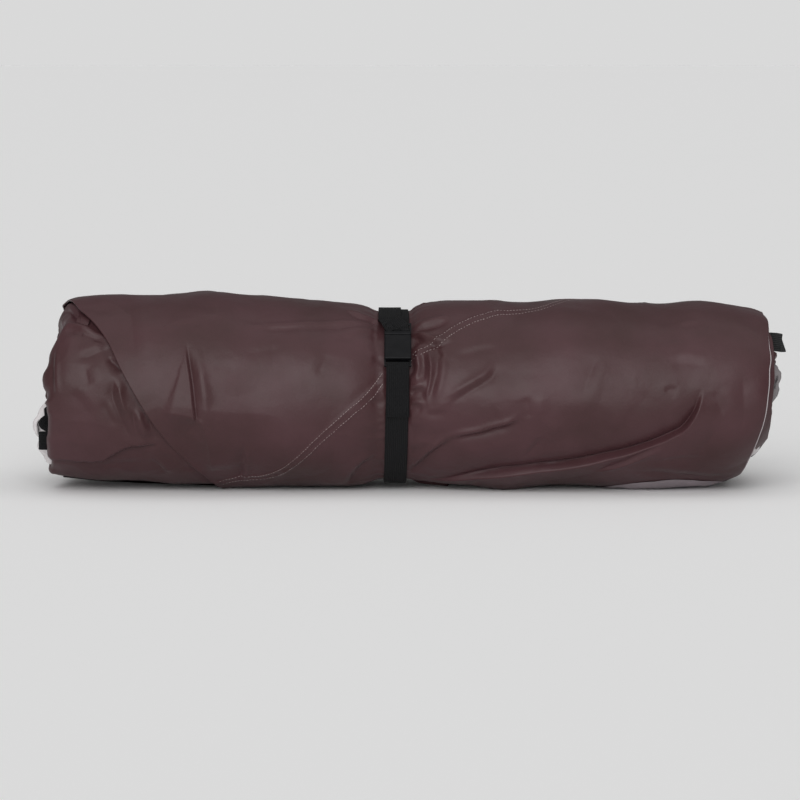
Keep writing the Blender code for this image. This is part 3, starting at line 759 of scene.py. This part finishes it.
def strap_path():
    """The strap: sewn round the socket's bar, round the waist, through the ladder, and on as a loose tail."""
    lift = TOUCH + THICKNESS / 2
    doubled = lift + THICKNESS + TOUCH
    sewn_end = [waist_point(a, doubled)[0] for a in np.arange(-7, 13.1, 4)]
    waist = [waist_point(a, lift + over_tail(a))[0] for a in np.arange(17, -294, -3)]
    for k, point in enumerate(waist):
        point.x -= STRAP_SLANT * math.sin(math.pi * k / (len(waist) - 1))
    tail = [on_buckle(*at) for at in TAIL_OVER_LADDER]
    tail += [waist_point(a, doubled + 0.5 * math.sin(a * 0.21) ** 2)[0] for a in np.arange(63, 149, 4)]
    for k, point in enumerate(tail):
        point.x -= TAIL_DRIFT * min((k + 1) / len(TAIL_OVER_LADDER), 1)
    return [*sewn_end, *round_bar(ANCHOR_BAR, 125, -125, 15), *waist, *round_bar(LADDER_BAR, 270, 90, 11), *tail]


def webbing(name, path, width, across, finish, *nodes):
    """Woven webbing along a path: a flat band with rounded, slightly thicker edges."""
    path = catmull([tuple(p) for p in path], 3)
    along = unit(np.gradient(path, axis=0))
    out = unit(np.cross(along, across))
    side = np.cross(out, along)
    half = THICKNESS / 2
    flat = width / 2 - half
    profile = [(u * flat, half * (1 - 0.10 * (1 - abs(u)) ** 2)) for u in np.linspace(-1, 1, 11)]
    profile += [(flat + half * math.cos(t), half * math.sin(t)) for t in np.radians((60, 30, 0, -30, -60))]
    profile += [(-u, -v) for u, v in profile]
    rows = np.stack([path + side * u + out * v for u, v in profile], axis=1)
    uv = np.stack(np.broadcast_arrays(np.array(profile)[:, 0], lengths_along(path)[:, None]), axis=-1)
    count = len(profile)
    faces = grid_faces(len(path), count, closed=True)
    faces.append(list(range(count)))
    faces.append(list(range((len(path) - 1) * count, len(path) * count))[::-1])
    band = mesh_of(name, rows, faces, uv)
    band.data.set_sharp_from_angle(angle=math.radians(50))
    return use(band, finish, "webbing", *nodes)


def make_box_stitch(finish):
    """Black stitching that holds the strap's sewn return: a box and its diagonals."""
    lift = 2 * (TOUCH + THICKNESS)
    corners = ((-9.5, -5.5), (9.5, -5.5), (9.5, 10.5), (-9.5, 10.5))
    runs = [(corners[k], corners[(k + 1) % 4]) for k in range(4)]
    runs += [(corners[0], corners[2]), (corners[1], corners[3])]
    rows = []
    for (ax, aa), (bx, ba) in runs:
        length = math.hypot(bx - ax, (ba - aa) * 1.8)
        for t in np.arange(1.2, length, 2.6) / length:
            x, a = ax + (bx - ax) * t, aa + (ba - aa) * t
            place, out = waist_point(a, lift)
            up = Vector((0, out.z, -out.y))
            way = Vector((bx - ax, 0, 0)) + up * (ba - aa) * 1.8
            rows.append((place + Vector((x, 0, 0)), way.normalized(), out))
    box = stitches(*np.array(rows, float).transpose(1, 0, 2), 2.1, 0.26)
    use(mesh_of("strap_stitches", *box), finish, "webbing")


def make_peg_loop(name, at, reach, gap, lean, droop, finish):
    """A short webbing loop of the tent's hem that sticks out of the roll's end."""
    side = math.copysign(1, at[0])
    radius = gap / 2 + THICKNESS / 2
    straight = reach - radius - THICKNESS / 2
    path = [(-6, -radius), (0, -radius), (straight * 0.5, -radius * 1.05), (straight, -radius)]
    path += [(straight + radius * math.sin(t), -radius * math.cos(t)) for t in np.linspace(0, math.pi, 9)[1:-1]]
    path += [(straight, radius), (straight * 0.5, radius * 1.05), (0, radius), (-6, radius)]
    points = [(at[0] + side * out, at[1] + across, at[2] - droop * max(out, 0) ** 2) for out, across in path]
    return webbing(name + "_webbing", points, 20.0, unit((-lean * side, 0, 1)), finish, name)


def warp(points, side):
    """Shifts points of an end across it, so that neighbouring layers stay nested."""
    y, z = points[..., 1], points[..., 2]
    moved = points.copy()
    moved[..., 1] += 3.0 * noise(y, z, 34, 70 + side) + 1.3 * noise(y, z, 15, 72 + side)
    moved[..., 2] += 3.0 * noise(y, z, 34, 74 + side) + 1.3 * noise(y, z, 15, 76 + side)
    return moved


def fold_band(side, turns, share, tip, half, reach):
    """A folded double layer that follows the winding: its rounded lip is at the tip, its layers run inwards."""
    angles = 360 * turns + SLIT
    ahead = base(tip, angles + 1.0, INSIDE, share)
    behind = base(tip, angles - 1.0, INSIDE, share)
    along = unit((ahead - behind) * (0, 1, 1))
    out = np.column_stack([0 * along[:, 0], -along[:, 2], along[:, 1]])
    profile = [(reach, 0.55), (reach * 0.6, 0.85), (reach * 0.3, 1.0)]
    profile += [(1 - math.sin(t), math.cos(t)) for t in np.radians((5, 30, 60, 90, 120, 150, 175))]
    profile += [(reach * 0.3, -1.0), (reach * 0.6, -0.85), (reach, -0.55)]
    backs = [(p * half if p <= 1 else p, q * half) for p, q in profile]
    return np.array([base(tip - side * p, angles, INSIDE, share) + out * q[:, None] for p, q in backs])


# The plies that show at the two ends: their slot, the node they stand for and their flat size in metres
PLIES = {
    "tent_wall_folds": ("tent_fabric", "tent_wall_laps", (0.2, 1.55)),
    "floor_sheet_folds": ("floor_fabric", "floor_sheet_laps", (0.04, 1.1)),
    "lining_folds": ("lining_fabric", "lining_laps", (0.04, 0.63)),
    "inner_folds": ("tent_fabric", "inner_wrap", (0.24, 0.65)),
}
# The plies' spiral, in shares of the roll's radius: where it starts, how far it moves out in a turn, its number of
# turns, and the outer face of the inner wrap; then the radius in millimetres
SPIRAL_START, SPIRAL_PITCH, SPIRAL_TURNS, SPIRAL_END = 0.07, 0.172, 4.6, 0.925
PLY_RADIUS = 108


def ply_bands():
    """The plies of one end: name, number, first and last turn, and where the ply lies or None in the inner wrap."""
    for k in range(7):
        name = "floor_sheet_folds" if k == 4 else "lining_folds" if k == 6 else "tent_wall_folds"
        stop = 2.4 if k == 6 else 3.6 if k == 4 else SPIRAL_TURNS
        inner = SPIRAL_START + SPIRAL_PITCH * (k + 0.5) / 7
        yield name, k, -(inner - 0.014) / SPIRAL_PITCH, stop, inner
    for k in range(10, 16):
        yield "inner_folds", k, SPIRAL_TURNS - 1, SPIRAL_TURNS, None


def make_ends(finishes):
    """The wound layers that show at both ends: many folded plies with uneven rounded lips."""
    built = {name: [] for name in PLIES}
    density = 130 / 1.0
    for side, end in ((-1, 392.0), (1, 394.0)):
        for name, k, start, stop, inner in ply_bands():
            turns = np.linspace(start, stop, max(60, int((stop - start) * density)))
            if inner is None:
                winding = SPIRAL_START + SPIRAL_PITCH * (turns + 1)
                share = winding + (SPIRAL_END - winding) * (k - 9.5) / 6
                half = np.maximum(SPIRAL_END - winding, 0.004) * PLY_RADIUS / 6 * 0.42
                reach = 10.0
            else:
                share = inner + SPIRAL_PITCH * turns
                half = np.full(turns.shape, SPIRAL_PITCH * PLY_RADIUS / 7 * 0.40)
                reach = 9.0
            w = turns * 330 * np.maximum(share, 0.15)
            puff = 1 + 0.28 * noise(w, 40 * k, 24, 80 + side)
            ragged = 3.2 * noise(w, 55 * k, 46, 84 + side) + 1.6 * noise(w, 31 * k, 15, 88 + side)
            dome = 7.0 * (1 - share**2)
            if side < 0:
                past_top = (360 * turns + SLIT + 120) % 360 - 180
                dome = 1.0 - 8.0 * fade(share, 0.5, 0.72)
                dome -= (13 * fade(share, 0.42, 0.6) + 7 * fade(share, 0.78, 0.9)) * hump(past_top - 5, 34)
            deep = 4.0 * ((k * 7) % 5) / 4 - 2.0
            tip = side * (end + dome + ragged - abs(deep))
            grid = warp(fold_band(side, turns, share, tip, half * puff, reach), side)
            built[name].append((grid.reshape(-1, 3), grid_faces(*grid.shape[:2])))
    for name, (slot_name, node, flat) in PLIES.items():
        plies = use(joined(name, built[name]), finishes[slot_name], slot_name, node)


def make_core_cloth(name, side, x, off, finish):
    """The cloth deeper inside an end, between and behind the plies, as a spiral of soft ridges."""
    share = np.linspace(0.004, 0.985, 80)[:, None]
    angle = np.linspace(0, 360, 161)[None, :] - 90
    ridges = np.abs(np.sin(3 * np.pi * (share / SPIRAL_PITCH - (angle - SLIT) / 360)))
    y, z = 100 * share * np.cos(np.radians(angle)), 100 * share * np.sin(np.radians(angle))
    grid = warp(base(x + side * (2.6 * ridges + 2.5 * noise(y, z, 30, 130 + side)), angle, off, share), side)
    cloth = use(grid_object(name, grid[:, ::-side]), finish, "tent_fabric", "core_fold")


# Loose folds at the ends: side, how far the tip reaches, bulge, half thickness and depth, length in metres, slot, the
# node it stands for, and its path as angle and share of the roll's radius
END_FOLDS = {
    "lining_fold_white": (-1, 399, 15, 5.5, 16, 0.063, "lining_fabric", "lining_fold_left",
                          ((6, 0.42), (-9, 0.46), (-30, 0.54), (-44, 0.64), (-54, 0.76), (-62, 0.90))),
    "wall_fold_brown": (-1, 393, 8, 4.5, 16, 0.063, "tent_fabric", "wall_fold_left",
                        ((46, 0.62), (30, 0.70), (12, 0.72), (-4, 0.68))),
    "floor_fold_grey": (1, 398, 8, 5.0, 16, 0.063, "floor_fabric", "floor_fold_right",
                        ((32, 0.66), (14, 0.77), (-4, 0.80), (-24, 0.74))),
    "wall_fold_brown_right": (1, 395, 8, 4.5, 14, 0.028, "tent_fabric", None,
                              ((46, 0.74), (38, 0.79), (29, 0.80), (20, 0.77))),
    "lining_fold_right": (1, 382, 6, 3.5, 12, 0.021, "lining_fabric", None,
                          ((-44, 0.84), (-50, 0.88), (-56, 0.91), (-61, 0.93))),
}


def make_end_folds(finishes):
    """Loose folds that bulge out of the ends."""
    for name, (side, tip, bulge, half, reach, length, slot_name, node, path) in END_FOLDS.items():
        angles, share = catmull(path, 14).T
        t = np.linspace(0, 1, len(share))
        swell = np.sin(np.pi * t) ** 0.7
        width = half * (0.25 + 0.75 * swell) * (1 + 0.25 * noise(t * 80, 0, 14, 91))
        tips = side * (tip + bulge * swell * (1 + 0.22 * noise(t * 90, 0, 11, 93)))
        grid = fold_band(side, (angles - SLIT) / 360, share, tips, width, reach)
        crumples = 0.8 * noise(grid[..., 1], grid[..., 2], 9, 95) + 0.4 * noise(grid[..., 0] * 2, grid[..., 2], 5, 96)
        grid[..., 0] += side * crumples
        grid[..., 1] += 0.8 * noise(grid[..., 0], grid[..., 2], 8, 97)
        fold = use(grid_object(name, grid), finishes[slot_name], slot_name, *([node] if node else []))


def make_hem_tape(finish):
    """A hem's webbing that shows in two places beside the left end's brown rim."""
    heights = (94, 91, 88, 85, 82, 78, 74, 70, 66, 57, 48)
    places = (-387, -395, -398, -391, -396, -402, -402, -394, -386, -386, -386)
    path = [(x, -57 - 2 * math.sin(z * 0.11), z) for x, z in zip(places, heights)]
    return webbing("hem_webbing", path, 11.0, (0.97, 0.25, 0), finish)


def make_lining_and_highlight_strip(points, angle, finish):
    """The pale binding that wraps the outer sheet's right edge: partly the lining that shows there, partly a painted
    highlight along the rim.
    """
    shown = (angle[-1] > -82) & (angle[-1] < 52)
    edge = points[-1][shown]
    away = unit(edge - points[-4][shown])
    out = grid_normals(points)[-1][shown]
    size = (fade(angle[-1], -82, -50) * (1 - fade(angle[-1], 20, 52)))[shown][:, None]
    wrap = ((0.2, 3.4), (1.1, 3.0), (1.8, 2.2), (2.0, 1.0), (1.8, 0.0), (1.2, -0.35), (0.6, 0.1))
    rows = [edge + away * (a * size) - out * (b if b > 1 else b * size) for a, b in wrap]
    # Its pale colour is partly the lining that shows at the rim and partly a painted highlight along the rim.
    return use(grid_object("rim_binding_with_highlight", np.array(rows)[::-1]), finish, "floor_fabric")


def make_reflection_strip(sheet, finish):
    """A paler lilac strip laid along the underside at the right: a painted reflection of the bright surroundings in
    the fabric's sheen.
    """
    start, stop = 206, 352
    x = np.linspace(start, stop, 98)[:, None]
    reach = np.sin(np.pi * (x - start) / (stop - start)) ** 0.6
    share = np.linspace(0, 1, 15)[None, :]
    w = np.radians(-83 + (4 + 23 * reach) * share + 2.4 * noise(x, 0, 30, 120) * share) * ROUND
    x, w = np.broadcast_arrays(x, w)
    places, out = on_sheet(sheet, x.ravel(), w.ravel())
    lift = 0.7 + 1.1 * (1 - np.abs(2 * share - 1)) * reach + 0.5 * noise(x, w, 13, 121)
    grid = places.reshape(*x.shape, 3) + out.reshape(*x.shape, 3) * np.maximum(lift, 0.45)[..., None]
    # The strip's paler lilac colour is a painted reflection of the bright surroundings, not a cloth of its own.
    return use(grid_object("painted_reflection_strip", grid), finish, "floor_fabric")


class Nodes:
    """Short calls for a material's nodes: an input that is given a socket is linked, and any other is set."""

    def __init__(self, tree):
        self.tree = tree

    def fill(self, node, inputs):
        for key, value in inputs.items():
            if isinstance(value, bpy.types.NodeSocket):
                self.tree.links.new(value, node.inputs[key])
            else:
                node.inputs[key].default_value = (*value, 1) if isinstance(value, tuple) else value

    def add(self, kind, output=0, inputs=None, **settings):
        node = self.tree.nodes.new("ShaderNode" + kind)
        for key, value in settings.items():
            setattr(node, key, value)
        self.fill(node, inputs or {})
        return node.outputs[output]

    def noise(self, at, scale, detail=3, roughness=0.5):
        return self.add("TexNoise", "Fac", {"Vector": at, "Scale": scale, "Detail": detail, "Roughness": roughness})

    def span(self, value, low, high, to_low, to_high):
        limits = {"From Min": low, "From Max": high, "To Min": to_low, "To Max": to_high}
        return self.add("MapRange", "Result", {"Value": value, **limits})

    def mix(self, share, first, second):
        return self.add("Mix", 2, {"Factor": share, 6: first, 7: second}, data_type="RGBA")

    def math(self, operation, first, second=0.0):
        return self.add("Math", 0, {0: first, 1: second}, operation=operation)

    def bump(self, height, strength, distance, **after):
        return self.add("Bump", 0, {"Height": height, "Strength": strength, "Distance": distance, **after})


def new_material(name):
    made = bpy.data.materials.new(name)
    made.use_nodes = True
    return made, Nodes(made.node_tree), made.node_tree.nodes["Principled BSDF"]


def fabric_material(name, dark, light, rough):
    """Coated polyester: uneven colour, soft sheen, fine crinkles and a tight weave."""
    made, n, shader = new_material(name)
    place = n.add("TexCoord", "Object")
    crinkles = n.bump(n.noise(place, 62, 6, 0.6), 0.35, 0.0016)
    looks = {"Specular IOR Level": 0.26}
    looks["Base Color"] = n.mix(n.span(n.noise(place, 11, 4, 0.55), 0.35, 0.65, 0, 1), dark, light)
    looks["Roughness"] = n.span(n.noise(place, 34, 4), 0.3, 0.7, rough - 0.05, rough + 0.07)
    looks["Normal"] = n.bump(n.noise(place, 520, 3, 0.6), 0.22, 0.0003, Normal=crinkles)
    n.fill(shader, looks)
    return made


def webbing_material(name, dark, light):
    """Black nylon webbing: ribs along it and a fine weave across, placed by the piece's own map."""
    made, n, shader = new_material(name)
    uv = n.add("SeparateXYZ", 0, {0: n.add("UVMap", uv_map="UVMap")}).node.outputs
    pitches = (0.0021, 0.0014)
    across, along = (n.math("SINE", n.math("MULTIPLY", uv[k], 2 * math.pi / pitches[k])) for k in (0, 1))
    weave = n.math("ADD", n.math("MULTIPLY", across, along), across)
    looks = {"Roughness": 0.7, "Specular IOR Level": 0.15, "Normal": n.bump(weave, 0.7, 0.0005)}
    n.fill(shader, {"Base Color": n.mix(n.span(weave, -1.6, 1.6, 0, 1), dark, light), **looks})
    return made


def plastic_material():
    made, n, shader = new_material("moulded_plastic")
    place = n.add("TexCoord", "Object")
    grain = n.noise(place, 900, 3, 0.6)
    shade = n.span(n.noise(place, 120, 3), 0.3, 0.7, 0, 1)
    looks = {"Specular IOR Level": 0.12, "Base Color": n.mix(shade, (0.004, 0.004, 0.005), (0.007, 0.007, 0.008))}
    n.fill(shader, {**looks, "Roughness": n.span(grain, 0.3, 0.7, 0.38, 0.52), "Normal": n.bump(grain, 0.3, 0.0002)})
    return made


def thread_material():
    made, n, shader = new_material("pale_thread")
    shade = n.span(n.noise(n.add("TexCoord", "Object"), 300, 2), 0.3, 0.7, 0, 1)
    n.fill(shader, {"Base Color": n.mix(shade, (0.27, 0.21, 0.21), (0.40, 0.33, 0.32)), "Roughness": 0.55})
    return made


def use(obj, finish, slot_name, *nodes):
    """Gives a piece its material and body, and hides the nodes of the CAD that it stands for. The slot name is not
    used.
    """
    obj.data.materials.clear()
    obj.data.materials.append(finish)
    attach(obj, "root")
    if nodes:
        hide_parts(*nodes)
    return obj


def aimed(name, data, back):
    """A new light or camera, with the direction that its back faces."""
    obj = in_scene(name, data)
    obj.rotation_mode = "QUATERNION"
    obj.rotation_quaternion = Vector(back).to_track_quat("Z", "Y")
    return obj


def soft_sun(name, towards, angle, strength):
    """A broad, even light: the direction it shines from, its width in degrees and its strength."""
    light = bpy.data.lights.new(name, "SUN")
    light.angle, light.energy = math.radians(angle), strength
    aimed(name, light, towards)


def set_stage():
    """A pale floor and surround, a broad soft light in front and a weaker one above."""
    side = 2e4
    corners = [(-side, -side, 0), (side, -side, 0), (side, 2 * side, 0), (-side, 2 * side, 0)]
    floor = mesh_of("floor", corners, [(0, 1, 2, 3)])
    made, n, shader = new_material("pale_floor")
    n.fill(shader, {"Base Color": (0.95, 0.95, 0.95), "Roughness": 0.9})
    floor.data.materials.append(made)
    world = bpy.data.worlds.new("studio")
    bpy.context.scene.world = world
    world.use_nodes = True
    n = Nodes(world.node_tree)
    strength = n.span(n.add("LightPath", "Is Camera Ray"), 0, 1, 0.22, 0.695)
    n.fill(world.node_tree.nodes["Background"], {"Color": (1, 1, 1), "Strength": strength})
    soft_sun("front", (-0.15, -1.0, 0.42), 56, 1.98)
    soft_sun("above", (0.1, -0.25, 1.0), 80, 0.95)
    bpy.context.scene.view_settings.view_transform = "Standard"


def set_camera():
    """Frames the roll as in the photograph."""
    back = Vector((0, -math.cos(ELEVATION), math.sin(ELEVATION)))
    camera = aimed("camera", bpy.data.cameras.new("camera"), back)
    camera.location = (Vector(AIM) + back * DISTANCE) * MM
    camera.data.sensor_width = 36
    camera.data.lens = 36 * DISTANCE / (PICTURE * PIXEL)
    camera.data.clip_end = 50
    bpy.context.scene.camera = camera


def main():
    """Makes every piece, dresses it and sets the stage."""
    brown = fabric_material("brown_polyester", (0.047, 0.0195, 0.0205), (0.064, 0.027, 0.031), 0.40)
    grey = fabric_material("grey_floor_cloth", (0.17, 0.155, 0.16), (0.24, 0.22, 0.225), 0.48)
    white = fabric_material("off_white_lining", (0.60, 0.57, 0.575), (0.72, 0.69, 0.695), 0.6)
    # Paler lilac cloth for the underside strip at the right: painted reflection of the bright surroundings in the
    # fabric's sheen.
    lilac = fabric_material("painted_reflection_lilac", (0.20, 0.165, 0.18), (0.29, 0.245, 0.265), 0.42)
    # Pale cloth for the right rim: partly the lining's own colour, partly a painted highlight on the rim.
    pale = fabric_material("binding_with_painted_highlight", (0.33, 0.29, 0.30), (0.44, 0.40, 0.41), 0.6)
    web = webbing_material("webbing_weave", (0.004, 0.004, 0.0045), (0.013, 0.013, 0.014))
    worn = webbing_material("worn_webbing_weave", (0.012, 0.012, 0.012), (0.045, 0.045, 0.046))
    plastic, thread = plastic_material(), thread_material()
    outer, outer_points, x, angle = make_outer_sheets()
    for sheet in outer:
        use(sheet, brown, "tent_fabric", "outer_wrap", "tail_flap")
    under = use(make_under_sheet(), brown, "tent_fabric", "under_wrap")
    sheet = (outer_points, x, angle, grid_normals(outer_points))
    trims = [make_seam(sheet, thread), make_reflection_strip(sheet, lilac), make_lining_and_highlight_strip(outer_points, angle, pale)]
    webbing("strap_webbing", strap_path(), WEBBING_WIDTH, (1, 0, 0), web, "strap_band")
    make_box_stitch(plastic)
    left_tapes = [make_peg_loop("peg_loop_left", (-402.3, -60, 57), 6, 3, 0.0, 0.0, web), make_hem_tape(web)]
    trims.append(make_peg_loop("peg_loop_right", (399.3, -30, 163.5), 14, 5, 0.35, 0.01, worn))
    cloths = {"tent_fabric": brown, "floor_fabric": grey, "lining_fabric": white}
    make_ends(cloths)
    make_core_cloth("core_cloth_left", -1, -370, -10, brown)
    make_core_cloth("core_cloth_right", 1, 358, -5, brown)
    make_end_folds(cloths)
    for name in ("buckle_socket", "buckle_plug"):
        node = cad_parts[name]
        node.data.materials.clear()
        node.data.materials.append(plastic)
    set_stage()
    set_camera()


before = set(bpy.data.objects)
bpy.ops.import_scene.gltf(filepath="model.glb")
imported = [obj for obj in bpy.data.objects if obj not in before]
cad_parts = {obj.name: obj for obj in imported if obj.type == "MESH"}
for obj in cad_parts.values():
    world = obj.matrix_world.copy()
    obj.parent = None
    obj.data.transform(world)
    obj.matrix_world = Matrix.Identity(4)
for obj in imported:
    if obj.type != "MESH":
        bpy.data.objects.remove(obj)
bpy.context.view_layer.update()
main()
